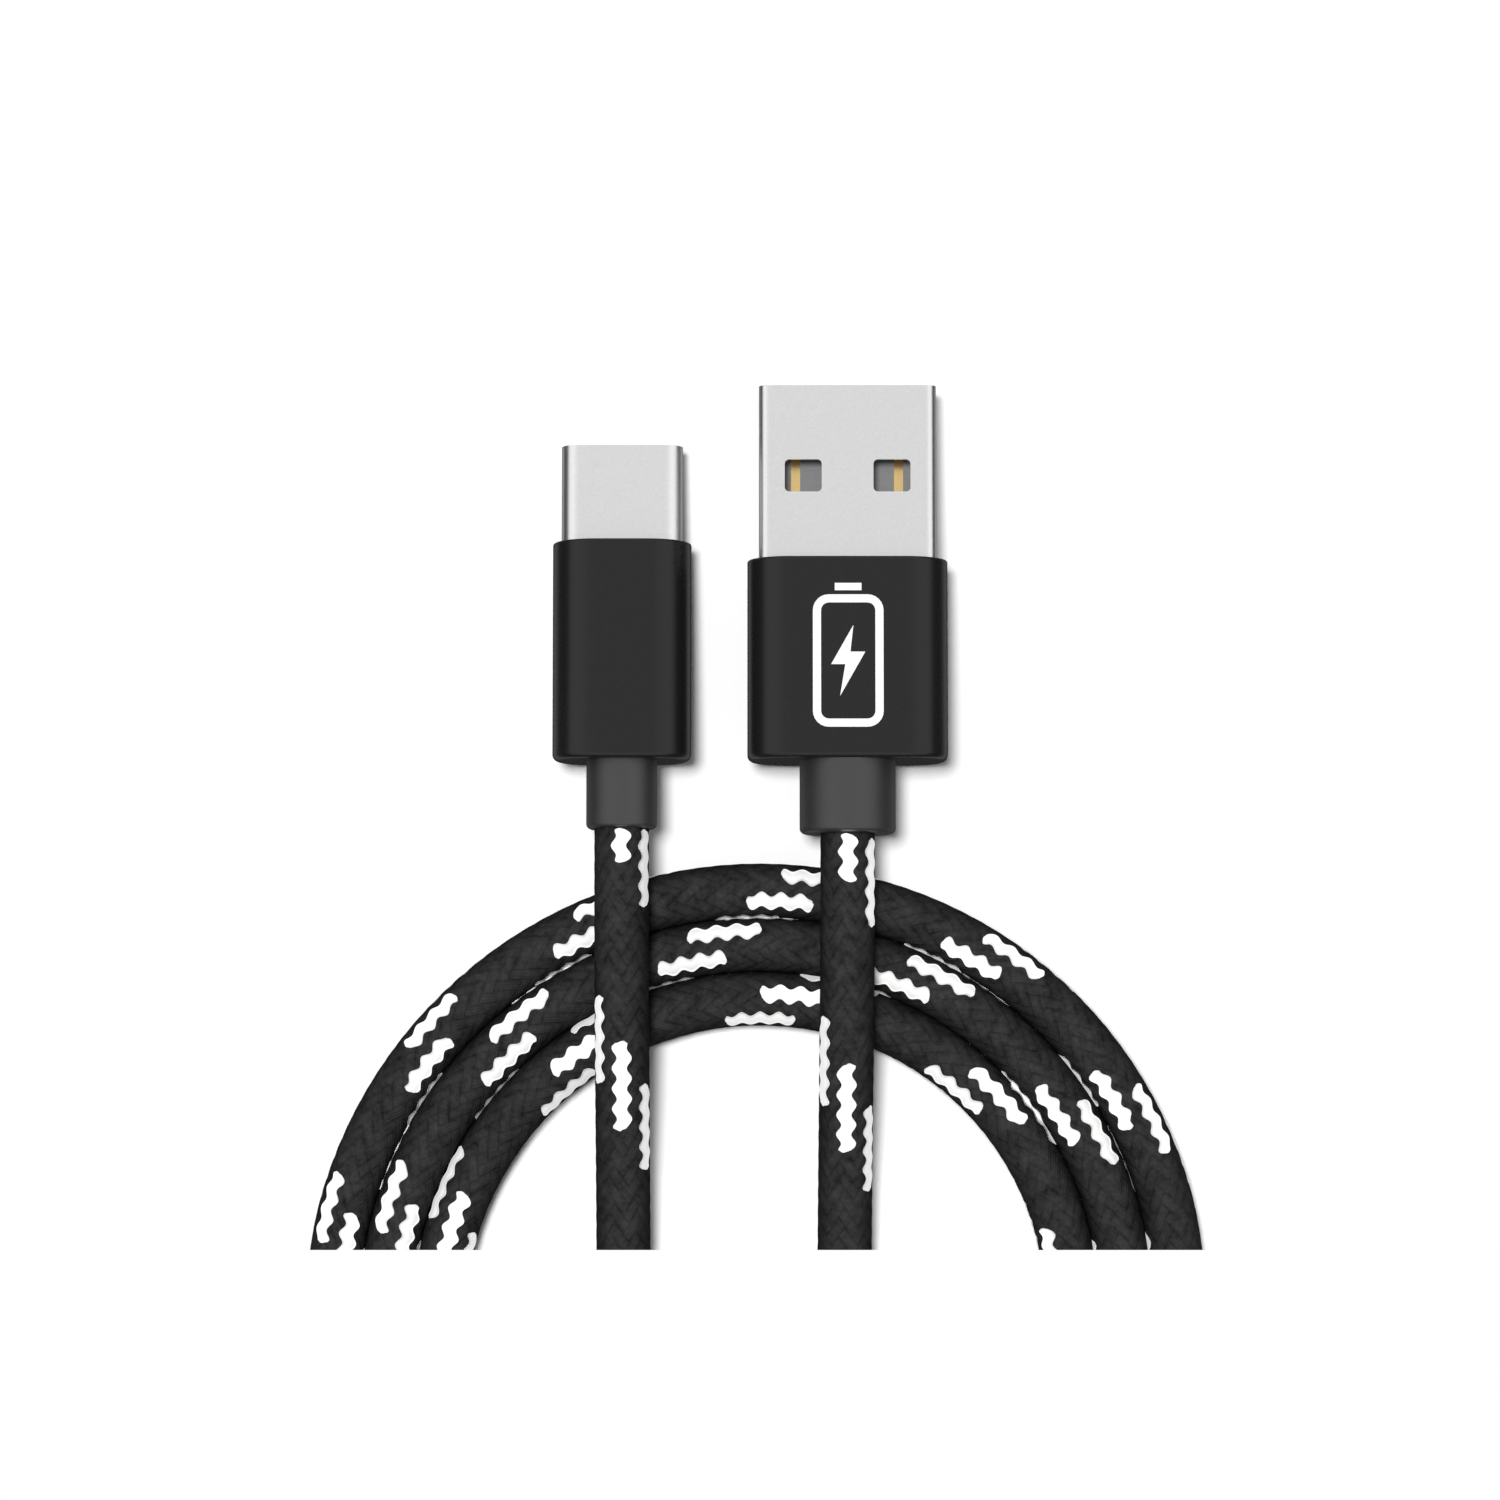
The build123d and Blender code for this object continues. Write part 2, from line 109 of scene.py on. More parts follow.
# The coil is a spiral of half circles joined by straight sides. Lengths are in mm, and angles in degrees,
# anticlockwise from +X.
COIL_X, COIL_TOP_Y, COIL_STRAIGHT = 1.25, -47.9, 44.0
COIL_PITCH = 3.68
OUTER_TURN_RADIUS, OUTER_TURN_ANGLE = 28.95, 810.0  # where the third turn passes the top
COIL_START, COIL_END = -58.0, 940.0
FIRST_HALF, LAST_HALF = -1, 5  # half circles, counted from the upper one that starts at 0 degrees
ARC_STEP, SIDE_STEPS = 15.0, 5


def coil_radius(angle):
    """Radius of the spiral at an angle, in mm."""
    return OUTER_TURN_RADIUS + COIL_PITCH * (angle - OUTER_TURN_ANGLE) / 360.0


def coil_place(angle):
    """A point of the coil's upper half circle, in metres."""
    turn = math.radians(angle)
    radius = coil_radius(angle)
    x, y = COIL_X + radius * math.cos(turn), COIL_TOP_Y + radius * math.sin(turn)
    return [x * MM, y * MM, LIE * MM]


def coil_points():
    """The control points of the turns, from the innermost to the outermost."""
    points = []
    # The spline cuts inside its control points, so they stand further out by this factor
    outside = 1.0 / math.cos(math.radians(ARC_STEP / 2))
    low_y = COIL_TOP_Y - COIL_STRAIGHT
    for half in range(FIRST_HALF, LAST_HALF + 1):
        at_top = half % 2 == 0
        middle_y, next_y = (COIL_TOP_Y, low_y) if at_top else (low_y, COIL_TOP_Y)
        for step in range(int(180 / ARC_STEP)):
            angle = 180 * half + (step + 0.5) * ARC_STEP
            if COIL_START <= angle <= COIL_END:
                radius = coil_radius(angle) * outside
                turn = math.radians(angle)
                points.append((COIL_X + radius * math.cos(turn), middle_y + radius * math.sin(turn), LIE))
        angle = 180 * (half + 1)
        if COIL_START <= angle <= COIL_END:
            side_x = COIL_X + coil_radius(angle) * (-1 if at_top else 1)
            for step in range(1, SIDE_STEPS):
                points.append((side_x, middle_y + (next_y - middle_y) * step / SIDE_STEPS, LIE))
    return points


def spline_points(control, resolution=24):
    """Points along the NURBS spline of a route, as Blender draws it."""
    curve = bpy.data.curves.new("route", "CURVE")
    curve.dimensions = "3D"
    spline = curve.splines.new("NURBS")
    spline.points.add(len(control) - 1)
    for point, place in zip(spline.points, control):
        point.co = (*[c * MM for c in place], 1.0)
    spline.order_u = 3
    spline.use_endpoint_u = True
    spline.resolution_u = resolution
    holder = bpy.data.objects.new("route", curve)
    bpy.context.scene.collection.objects.link(holder)
    bpy.context.view_layer.update()
    mesh = bpy.data.meshes.new_from_object(holder)
    points = np.array([v.co for v in mesh.vertices], float)
    bpy.data.objects.remove(holder)
    bpy.data.curves.remove(curve)
    bpy.data.meshes.remove(mesh)
    return points


class CentreLine:
    """The cord's middle, with its length along itself and two directions across it."""

    def __init__(self, points, spacing):
        steps = np.linalg.norm(np.diff(points, axis=0), axis=1)
        along = np.r_[0.0, np.cumsum(steps)]
        self.length = along[-1]
        count = int(round(self.length / spacing))
        self.s = np.linspace(0.0, self.length, count + 1)
        self.points = np.column_stack([np.interp(self.s, along, points[:, k]) for k in range(3)])
        tangent = np.gradient(self.points, axis=0)
        tangent /= np.linalg.norm(tangent, axis=1)[:, None]
        up = np.array([0.0, 0.0, 1.0]) - tangent[:, 2:3] * tangent
        self.up = up / np.linalg.norm(up, axis=1)[:, None]
        self.side = np.cross(tangent, self.up)

    def distance(self, place):
        """How far along the cord its nearest point to a place is."""
        return self.s[np.argmin(np.linalg.norm(self.points - np.array(place), axis=1))]

    def place(self, s, angle, radius):
        """Points on the cord at lengths s and angles from its top, both arrays of one shape."""
        at = [np.interp(s, self.s, column) for column in np.hstack([self.points, self.up, self.side]).T]
        middle, up, side = np.stack(at[0:3], -1), np.stack(at[3:6], -1), np.stack(at[6:9], -1)
        outwards = np.cos(angle)[..., None] * up + np.sin(angle)[..., None] * side
        return middle + radius[..., None] * outwards


YARNS = 12  # one way round; as many go the other way
CELL = 1.33 * MM  # length of one diamond of the braid
RING_STEP, RING_SIDES = 0.4 * MM, 40
RELIEF = 0.03 * MM


def braid_height(s, angle):
    """Height of the braid from 0 to 1: two families of yarns that pass over and under each other by twos."""
    a = YARNS * angle / (2 * np.pi) + s / CELL
    b = YARNS * angle / (2 * np.pi) - s / CELL
    over = np.mod(np.floor(a) + np.floor(b), 4) < 2
    across = np.where(over, np.mod(b, 1.0), np.mod(a, 1.0))
    return 1.0 - (2.0 * across - 1.0) ** 2


def mesh_object(name, vertices, faces, uvs=None):
    """A smooth mesh object from lists, with uvs one for each corner of each face."""
    mesh = bpy.data.meshes.new(name)
    mesh.from_pydata([tuple(v) for v in vertices], [], [tuple(f) for f in faces])
    if uvs is not None:
        layer = mesh.uv_layers.new(name="along")
        layer.data.foreach_set("uv", np.asarray(uvs, np.float32).ravel())
    mesh.polygons.foreach_set("use_smooth", [True] * len(mesh.polygons))
    mesh.update()
    made = bpy.data.objects.new(name, mesh)
    bpy.context.scene.collection.objects.link(made)
    return made


def make_cord(line):
    """The braided tube, closed at both ends. Its UVs are turns round the cord and millimetres along it."""
    rings, sides = len(line.s), RING_SIDES
    angle = np.arange(sides) * 2 * np.pi / sides
    s_grid, angle_grid = np.meshgrid(line.s, angle, indexing="ij")
    radius = CORD_RADIUS - RELIEF * (1.0 - braid_height(s_grid, angle_grid))
    vertices = line.place(s_grid, angle_grid, radius).reshape(-1, 3)
    i, j = np.meshgrid(np.arange(rings - 1), np.arange(sides), indexing="ij")
    i, j = i.ravel(), j.ravel()
    k = (j + 1) % sides
    faces = np.stack([i * sides + j, i * sides + k, (i + 1) * sides + k, (i + 1) * sides + j], -1)
    v0, v1 = line.s[i] / MM, line.s[i + 1] / MM
    u0, u1 = j / sides, (j + 1) / sides
    uvs = np.stack([u0, v0, u1, v0, u1, v1, u0, v1], -1).reshape(-1, 2)
    caps = [list(range(sides))[::-1], [(rings - 1) * sides + n for n in range(sides)]]
    cap_uvs = np.zeros((2 * sides, 2))
    return mesh_object("cord", vertices, faces.tolist() + caps, np.vstack([uvs, cap_uvs]))


FLECK_COLUMNS = 6
FLECK_PERIOD = 14.6 * MM  # from one fleck to the next of its column
FLECK_SHARE = 0.335  # of that period is white. Each column's flecks come a sixth of it before the last's
FLECK_HALF_WIDTH, FLECK_SWING = 0.52 * MM, 0.18 * MM
FLECK_END = 0.7  # length of a drawn-in end, in half widths
FLECK_TIP = 0.02  # square of the share of its width that a fleck keeps at its very end
FLECK_RISE, FLECK_DEPTH = 0.025 * MM, 0.1 * MM  # of the middle above the braid, and of the underside below it
FLECK_ROWS, FLECK_STEPS = 36, 5
FLECK_SHORTEST = 1.0 * MM
CORD_END_GAP = 0.1 * MM  # from the cord's end to the nearest fleck

# Places where the braid's lay is known: the point, how far through its period column 0 is there, and how far
# the columns have turned round the cord, in degrees
FLECK_MARKS = [
    ((6.5 * MM, -30.2 * MM, 5.7 * MM), 0.0, 0.0),
    ((6.4 * MM, -48.0 * MM, 2.1 * MM), 0.0, 0.0),
    (coil_place(888.0), 0.243, 22.0),
    (coil_place(750.0), 0.243, 22.0),
    (coil_place(525.0), 0.243, 28.0),
    (coil_place(392.0), 0.243, 24.0),
    (coil_place(161.0), 0.243, 0.0),
    (coil_place(41.0), 0.243, -22.0),
    ((-8.6 * MM, -52.3 * MM, 1.86 * MM), 0.0, 0.0),
    ((-8.6 * MM, -34.7 * MM, 5.2 * MM), 0.0, 0.0),
    ((-8.7 * MM, -17.1 * MM, 5.4 * MM), 0.0, 0.0),
]
PERIOD_AT_A, PERIOD_AT_C = 17.8 * MM, 17.6 * MM  # of the braid beside each plug, where it is longer


def fleck_clock(line):
    """Distances along the cord, with the number of periods and the turn of the columns at each."""
    s = [line.distance(place) for place, _, _ in FLECK_MARKS]
    cycles = [FLECK_MARKS[0][1]]
    for i in range(1, len(s)):
        gain = FLECK_MARKS[i][1] - FLECK_MARKS[i - 1][1]
        cycles.append(cycles[-1] + gain + round((s[i] - s[i - 1]) / FLECK_PERIOD - gain))
    turns = [math.radians(turn) for _, _, turn in FLECK_MARKS]
    # One more period at each end, which reaches into the strain relief
    s = [s[0] - PERIOD_AT_A, *s, s[-1] + PERIOD_AT_C]
    cycles = [cycles[0] - 1, *cycles, cycles[-1] + 1]
    turns = [turns[0], *turns, turns[-1]]
    return np.array(s), np.array(cycles), np.array(turns)


def fleck_patch(line, s, turn):
    """Vertices of one fleck on rows at distances s: its top, then its underside."""
    t = np.linspace(0.0, 1.0, FLECK_ROWS)[:, None]
    w = np.linspace(-1.0, 1.0, FLECK_STEPS)[None, :]
    rounding = min(FLECK_END * FLECK_HALF_WIDTH / (s[-1] - s[0]), 0.5)
    end = np.clip(np.minimum(t, 1.0 - t) / rounding, 0.0, 1.0)
    width = FLECK_HALF_WIDTH * np.sqrt(1.0 - (1.0 - FLECK_TIP) * (1.0 - end) ** 2)
    s = s[:, None] + 0.0 * w
    swing = FLECK_SWING * np.cos(2 * np.pi * s / CELL)
    angle = turn[:, None] + (w * width + swing) / CORD_RADIUS
    rim = np.maximum(np.abs(w), 1.0 - end)
    lift = FLECK_RISE * (1.0 - rim**4)
    return np.vstack([line.place(s, angle, CORD_RADIUS + lift).reshape(-1, 3),
                      line.place(s, angle, CORD_RADIUS - FLECK_DEPTH + 0.0 * lift).reshape(-1, 3)])


def fleck_faces():
    """Faces of one fleck: its top, its underside and its rim."""
    rows, steps = FLECK_ROWS, FLECK_STEPS
    half = rows * steps
    faces = []
    for i in range(rows - 1):
        for j in range(steps - 1):
            a = i * steps + j
            faces.append((a, a + 1, a + steps + 1, a + steps))
            faces.append((a + half, a + half + steps, a + half + steps + 1, a + half + 1))
    edge = [i * steps for i in range(rows)] + [(rows - 1) * steps + j for j in range(1, steps)]
    edge += [i * steps + steps - 1 for i in range(rows - 2, -1, -1)] + list(range(steps - 2, 0, -1))
    for a, b in zip(edge, edge[1:] + edge[:1]):
        faces.append((a, a + half, b + half, b))
    return np.array(faces)


def make_flecks(name, line, clock, columns):
    """White floats of yarn in some of the columns, each a thin closed patch with wavy sides."""
    marks, cycles, turns = clock
    patch = fleck_faces()
    vertices, faces = [], []
    for column in columns:
        for n in range(int(cycles[0]) - 1, int(cycles[-1]) + 2):
            start = n - column / FLECK_COLUMNS
            s0, s1 = np.interp((start, start + FLECK_SHARE), cycles, marks)
            s0, s1 = max(s0, CORD_END_GAP), min(s1, line.length - CORD_END_GAP)
            if s1 - s0 < FLECK_SHORTEST:
                continue
            s = np.linspace(s0, s1, FLECK_ROWS)
            turn = 2 * np.pi * column / FLECK_COLUMNS + np.interp(s, marks, turns)
            faces.extend(patch + sum(len(v) for v in vertices))
            vertices.append(fleck_patch(line, s, turn))
    return mesh_object(name, np.vstack(vertices), faces)


# ---- Materials


class Paint:
    """A material under construction, with short names for its nodes. Colours are linear."""

    def __init__(self, name, colour=None, roughness=None, metallic=0.0, specular=0.5):
        self.material = bpy.data.materials.new(name)
        self.material.use_nodes = True
        self.tree = self.material.node_tree
        self.shader = self.tree.nodes["Principled BSDF"]
        if colour:
            self.shader.inputs["Base Color"].default_value = (*colour, 1.0)
        if roughness:
            self.shader.inputs["Roughness"].default_value = roughness
        self.shader.inputs["Metallic"].default_value = metallic
        self.shader.inputs["Specular IOR Level"].default_value = specular

    def link(self, output, target):
        self.tree.links.new(output, target)

    def math(self, operation, a, b=0.0):
        """The result of a sum on sockets or numbers."""
        made = self.tree.nodes.new("ShaderNodeMath")
        made.operation = operation
        for socket, value in zip(made.inputs, (a, b)):
            if isinstance(value, bpy.types.NodeSocket):
                self.link(value, socket)
            else:
                socket.default_value = value
        return made.outputs[0]

    def blend(self, factor, dark, light):
        """A base colour that goes from dark to light with factor."""
        mix = self.tree.nodes.new("ShaderNodeMix")
        mix.data_type = "RGBA"
        self.link(factor, mix.inputs["Factor"])
        mix.inputs[6].default_value = (*dark, 1.0)
        mix.inputs[7].default_value = (*light, 1.0)
        self.link(mix.outputs[2], self.shader.inputs["Base Color"])

    def roughness(self, factor, low, high):
        """A roughness that goes from low to high with factor."""
        made = self.tree.nodes.new("ShaderNodeMapRange")
        self.link(factor, made.inputs["Value"])
        made.inputs["To Min"].default_value = low
        made.inputs["To Max"].default_value = high
        self.link(made.outputs[0], self.shader.inputs["Roughness"])

    def grain(self, scale, detail=3.0, stretch=(1, 1, 1)):
        """Fine noise fixed to the object, from 0 to 1. Scale is in lumps for each metre."""
        place = self.tree.nodes.new("ShaderNodeTexCoord")
        mapping = self.tree.nodes.new("ShaderNodeMapping")
        mapping.inputs["Scale"].default_value = stretch
        self.link(place.outputs["Object"], mapping.inputs["Vector"])
        noise = self.tree.nodes.new("ShaderNodeTexNoise")
        noise.inputs["Scale"].default_value = scale
        noise.inputs["Detail"].default_value = detail
        self.link(mapping.outputs[0], noise.inputs["Vector"])
        return noise.outputs["Fac"]

    def bump(self, height, depth):
        """A relief in the shading, whose height goes from 0 to 1 times depth."""
        made = self.tree.nodes.new("ShaderNodeBump")
        made.inputs["Strength"].default_value = 1.0
        made.inputs["Distance"].default_value = depth
        self.link(height, made.inputs["Height"])
        self.link(made.outputs[0], self.shader.inputs["Normal"])


def plug_metal():
    """Satin nickel plate."""
    paint = Paint("plug_metal", metallic=1.0)
    fine = paint.grain(scale=6000.0)
    paint.blend(fine, dark=(0.74, 0.74, 0.75), light=(0.86, 0.86, 0.87))
    paint.roughness(fine, low=0.26, high=0.36)
    paint.bump(fine, depth=0.003 * MM)
    return paint.material


def spring_metal():
    """Rolled stainless strip, with its lines along the plug."""
    paint = Paint("spring_metal", colour=(0.62, 0.62, 0.63), metallic=1.0)
    rolled = paint.grain(scale=3000.0, stretch=(4, 0.5, 4))
    paint.roughness(rolled, low=0.22, high=0.42)
    paint.bump(rolled, depth=0.004 * MM)
    return paint.material


def contact_gold():
    """Gold plate, worn in lines along the plug."""
    paint = Paint("contact_gold", metallic=1.0)
    worn = paint.grain(scale=2500.0, stretch=(3, 0.4, 3))
    paint.blend(worn, dark=(0.80, 0.54, 0.20), light=(0.93, 0.70, 0.34))
    paint.roughness(worn, low=0.16, high=0.32)
    return paint.material


def plastic(name, dark, light, rough, grain_scale=4000.0, depth=0.01 * MM, specular=0.5):
    """A moulded or coated surface with a fine grain in its colour, its gloss and its relief."""
    paint = Paint(name, specular=specular)
    fine = paint.grain(grain_scale)
    paint.blend(fine, dark, light)
    paint.roughness(fine, *rough)
    paint.bump(fine, depth)
    return paint.material


def housing_black():
    """Black anodising, satin."""
    return plastic("housing_black", (0.005, 0.005, 0.0055), (0.008, 0.008, 0.0085), (0.24, 0.3),
                   grain_scale=5000.0, depth=0.003 * MM, specular=0.33)


def relief_black():
    """Satin elastomer, with broad reflections."""
    return plastic("relief_black", (0.006, 0.006, 0.006), (0.01, 0.01, 0.01), (0.46, 0.54),
                   grain_scale=1200.0, depth=0.003 * MM, specular=1.0)


SIDE_SHADE_SHARE = 0.28  # of the base colour is left at the sides and underneath, as painted shade
SIDE_SHADE_FALL = 1.3  # power of the painted shade's fall from the top to there


def painted_side_shade(paint, around):
    """Painted shade on the braid: its base colour falls from 1 along the top of the cord to the share set
    above down its sides.
    The studio's light alone leaves the sides lighter. around is in turns from the top."""
    facing_up = paint.math("COSINE", paint.math("MULTIPLY", around, 2 * math.pi))
    top = paint.math("POWER", paint.math("MAXIMUM", facing_up, 0.0), SIDE_SHADE_FALL)
    return paint.math("ADD", paint.math("MULTIPLY", top, 1.0 - SIDE_SHADE_SHARE), SIDE_SHADE_SHARE)


def braid_coordinates(paint):
    """Turns round the cord, and the two yarn families' own coordinates, from the cord's UVs."""
    uv = paint.tree.nodes.new("ShaderNodeUVMap")
    uv.uv_map = "along"
    split = paint.tree.nodes.new("ShaderNodeSeparateXYZ")
    paint.link(uv.outputs[0], split.inputs[0])
    round_it = paint.math("MULTIPLY", split.outputs["X"], float(YARNS))
    along = paint.math("MULTIPLY", split.outputs["Y"], MM / CELL)
    return split.outputs["X"], paint.math("ADD", round_it, along), paint.math("SUBTRACT", round_it, along)


YARN_ROUNDNESS = 2.5  # power of the fall from a yarn's middle to its edges
THREADS, THREAD_RELIEF = 4, 0.3  # side by side in a yarn, and their relief against the yarn's own
FUZZ_RELIEF = 0.8
BRAID_BUMP = 0.045 * MM
YARN_EDGE_SHADE, MOTTLE_TONE, FUZZ_TONE = 0.15, 0.5, 0.5  # shares of the tone; the yarns' share is painted shade, darker towards each yarn's edges
TONE_GAIN, TONE_OFFSET = 1.5, 0.3
BRAID_DARK, BRAID_LIGHT = (0.0, 0.0, 0.0), (0.046, 0.046, 0.047)


def yarn_position(paint, a, b):
    """Position across the yarn that lies on top, from 0 to 1, in the same pattern as braid_height."""
    cells = paint.math("ADD", paint.math("FLOOR", a), paint.math("FLOOR", b))
    over = paint.math("LESS_THAN", paint.math("FLOORED_MODULO", cells, 4.0), 2.0)
    under = paint.math("SUBTRACT", 1.0, over)
    from_b = paint.math("MULTIPLY", over, paint.math("FRACT", b))
    from_a = paint.math("MULTIPLY", under, paint.math("FRACT", a))
    return paint.math("ADD", from_b, from_a)


def braid_black():
    """Charcoal yarns in the mesh's own braid pattern, each of fine threads with fuzz and uneven dye, and
    painted shade at the yarns' edges and down the cord's sides.
    """
    paint = Paint("braid_black", roughness=0.75, specular=0.02)
    around, a, b = braid_coordinates(paint)
    across = yarn_position(paint, a, b)
    from_middle = paint.math("ABSOLUTE", paint.math("SUBTRACT", paint.math("MULTIPLY", across, 2.0), 1.0))
    rounded = paint.math("SUBTRACT", 1.0, paint.math("POWER", from_middle, YARN_ROUNDNESS))
    thread_wave = paint.math("SINE", paint.math("MULTIPLY", across, 2 * math.pi * THREADS))
    threads = paint.math("MULTIPLY", thread_wave, THREAD_RELIEF)
    fuzz = paint.grain(scale=3500.0, detail=4.0)
    mottle = paint.grain(scale=900.0, detail=1.0)
    height = paint.math("ADD", paint.math("ADD", rounded, threads), paint.math("MULTIPLY", fuzz, FUZZ_RELIEF))
    paint.bump(height, BRAID_BUMP)
    # Painted shade: each yarn darker towards its edges, in the grooves between yarns
    tone = paint.math("MULTIPLY", rounded, YARN_EDGE_SHADE)
    tone = paint.math("ADD", tone, paint.math("MULTIPLY", mottle, MOTTLE_TONE))
    tone = paint.math("ADD", tone, paint.math("MULTIPLY", fuzz, FUZZ_TONE))
    tone = paint.math("SUBTRACT", paint.math("MULTIPLY", tone, TONE_GAIN), TONE_OFFSET)
    # The braid's tone, times the painted shade down the cord's sides
    paint.blend(paint.math("MULTIPLY", tone, painted_side_shade(paint, around)), BRAID_DARK, BRAID_LIGHT)
    return paint.material


def fleck_white():
    """White yarn, slightly fuzzy."""
    paint = Paint("fleck_white", roughness=0.6)
    fuzz = paint.grain(scale=3000.0)
    paint.blend(fuzz, dark=(0.92, 0.92, 0.91), light=(0.98, 0.98, 0.97))
    paint.bump(fuzz, depth=0.015 * MM)
    paint.shader.inputs["Sheen Weight"].default_value = 1.0
    paint.shader.inputs["Sheen Roughness"].default_value = 0.5
    return paint.material


def set_material(piece, material):
    piece.data.materials.clear()
    piece.data.materials.append(material)


def paint_nodes():
    """Every CAD node's own finish, by a word in its name. The rest is spring steel."""
    black_plastic = plastic("mould_plastic", (0.016, 0.016, 0.016), (0.026, 0.026, 0.026), (0.42, 0.55))
    finishes = {
        "shell": plug_metal(),
        "usb_a_insulator": plastic("tongue_plastic", (0.17, 0.17, 0.17), (0.22, 0.22, 0.22), (0.4, 0.5)),
        "usb_c_insulator": black_plastic,
        "inner_mould": black_plastic,
        "contact": contact_gold(),
        "housing": housing_black(),
        "strain_relief": relief_black(),
        "wire_red": plastic("wire_red", (0.42, 0.02, 0.02), (0.55, 0.04, 0.03), (0.3, 0.4)),
        "wire_white": plastic("wire_white", (0.68, 0.68, 0.65), (0.78, 0.78, 0.75), (0.3, 0.4)),
        "wire_green": plastic("wire_green", (0.03, 0.28, 0.08), (0.05, 0.38, 0.12), (0.3, 0.4)),
        "wire_black": plastic("wire_black", (0.02, 0.02, 0.02), (0.03, 0.03, 0.03), (0.3, 0.4)),
        "circuit_board": plastic("board_green", (0.02, 0.14, 0.07), (0.04, 0.2, 0.1), (0.3, 0.4)),
        "resistor": plastic("resistor_black", (0.02, 0.02, 0.02), (0.04, 0.04, 0.04), (0.3, 0.45)),
        "cable_end": plastic("jacket_black", (0.015, 0.015, 0.015), (0.03, 0.03, 0.03), (0.6, 0.75)),
    }
    steel = spring_metal()
    for name, node in nodes.items():
        match = [key for key in finishes if key in name]
        set_material(node, finishes[match[0]] if match else steel)


# ---- Printed mark

A_REACH, A_HOUSING_LENGTH, A_HALF_HEIGHT = 11.8 * MM, 13.6 * MM, 3.5 * MM  # of the shell and the housing
INK_BELOW, INK_ABOVE = 0.01 * MM, 0.015 * MM  # the housing's surface

# The battery's outline, its cap and its bolt, seen from above, with y towards the plug's tip
MARK_HALF_WIDTH, MARK_HALF_LENGTH, MARK_CORNER, MARK_LINE = 2.1 * MM, 4.2 * MM, 0.8 * MM, 0.55 * MM
MARK_SETBACK = 0.3 * MM  # of the outline, which leaves room for the cap
CAP_HALF_WIDTH, CAP_LENGTH = 0.9 * MM, 0.5 * MM
BOLT = ((0.35, 2.1), (-1.15, -0.55), (-0.2, -0.55), (-0.55, -2.7), (1.15, 0.3), (0.15, 0.3))  # in mm
CORNER_STEP = 15  # degrees


def plug_frame(mount_name):
    """Tip, and the right, forward and up directions of a plug, from the record's mount."""
    mount = next(m for m in frame["record"]["mounts"] if m["name"] == mount_name)
    right, forward = Vector((1, 0, 0)), Vector(mount["axis"])
    return Vector(mount["pos_m"]), right, forward, right.cross(forward)


def rounded_outline():
    """Points round the battery's outline."""
    points = []
    for quarter, (x, y) in enumerate(((1, 1), (-1, 1), (-1, -1), (1, -1))):
        for degrees in range(90 * quarter, 90 * (quarter + 1) + 1, CORNER_STEP):
            turn = math.radians(degrees)
            across = x * (MARK_HALF_WIDTH - MARK_CORNER) + MARK_CORNER * math.cos(turn)
            along = y * (MARK_HALF_LENGTH - MARK_CORNER) + MARK_CORNER * math.sin(turn)
            points.append(Vector((across, along - MARK_SETBACK)))
    return points


def stroke(points, width):
    """Both sides of a flat line of that width along a closed outline: its left side and its right side."""
    left, right = [], []
    for i, here in enumerate(points):
        into = (here - points[i - 1]).normalized()
        out = (points[(i + 1) % len(points)] - here).normalized()
        normal = Vector((-(into + out).y, (into + out).x)).normalized()
        reach = width / 2 / normal.dot(Vector((-into.y, into.x)))
        left.append(here + normal * reach)
        right.append(here - normal * reach)
    return left, right


def make_mark():
    """A battery outline with a bolt in it, printed in white on the USB-A housing."""
    tip, right, forward, up = plug_frame("usb_a_plug")
    middle = tip - forward * (A_REACH + A_HOUSING_LENGTH / 2) + up * A_HALF_HEIGHT
    outline = rounded_outline()
    inner, outer = stroke(outline, MARK_LINE)
    mesh = bmesh.new()

    def prism(corners):
        lower = [mesh.verts.new(middle + right * c.x + forward * c.y - up * INK_BELOW) for c in corners]
        upper = [mesh.verts.new(middle + right * c.x + forward * c.y + up * INK_ABOVE) for c in corners]
        mesh.faces.new(upper)
        mesh.faces.new(lower[::-1])
        for i in range(len(corners)):
            k = (i + 1) % len(corners)
            mesh.faces.new((lower[i], lower[k], upper[k], upper[i]))

    for i in range(len(outline)):
        k = (i + 1) % len(outline)
        prism([outer[i], outer[k], inner[k], inner[i]])
    cap_low = MARK_HALF_LENGTH - MARK_SETBACK + MARK_LINE
    cap_high = cap_low + CAP_LENGTH
    prism([Vector((-CAP_HALF_WIDTH, cap_low)), Vector((CAP_HALF_WIDTH, cap_low)),
           Vector((CAP_HALF_WIDTH, cap_high)), Vector((-CAP_HALF_WIDTH, cap_high))])
    prism([Vector((x * MM, y * MM)) for x, y in BOLT])
    bmesh.ops.recalc_face_normals(mesh, faces=mesh.faces)
    data = bpy.data.meshes.new("usb_a_printed_mark")
    mesh.to_mesh(data)
    mesh.free()
    made = bpy.data.objects.new("usb_a_printed_mark", data)
    bpy.context.scene.collection.objects.link(made)
    set_material(made, plastic("mark_ink", (0.80, 0.80, 0.80), (0.88, 0.88, 0.88), (0.45, 0.55),
                               grain_scale=3000.0, depth=0.003 * MM))
    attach(made, "cable")


# ---- Studio

KEY_STRENGTH, KEY_ANGLE, KEY_DIRECTION = 3.2, 13.0, (0.118, -0.12, -1.0)
FILL = 0.25
FLOOR_REACH = 3.0  # each way from the origin, in metres


def make_floor():
    """A plain white floor, which isn't mirrored in the object."""
    reach = FLOOR_REACH
    corners = [(-reach, -reach, 0), (reach, -reach, 0), (reach, reach, 0), (-reach, reach, 0)]
    floor = mesh_object("floor", corners, [(0, 1, 2, 3)])
    set_material(floor, Paint("floor_white", colour=(0.9, 0.9, 0.9), roughness=0.9).material)
    floor.visible_glossy = False


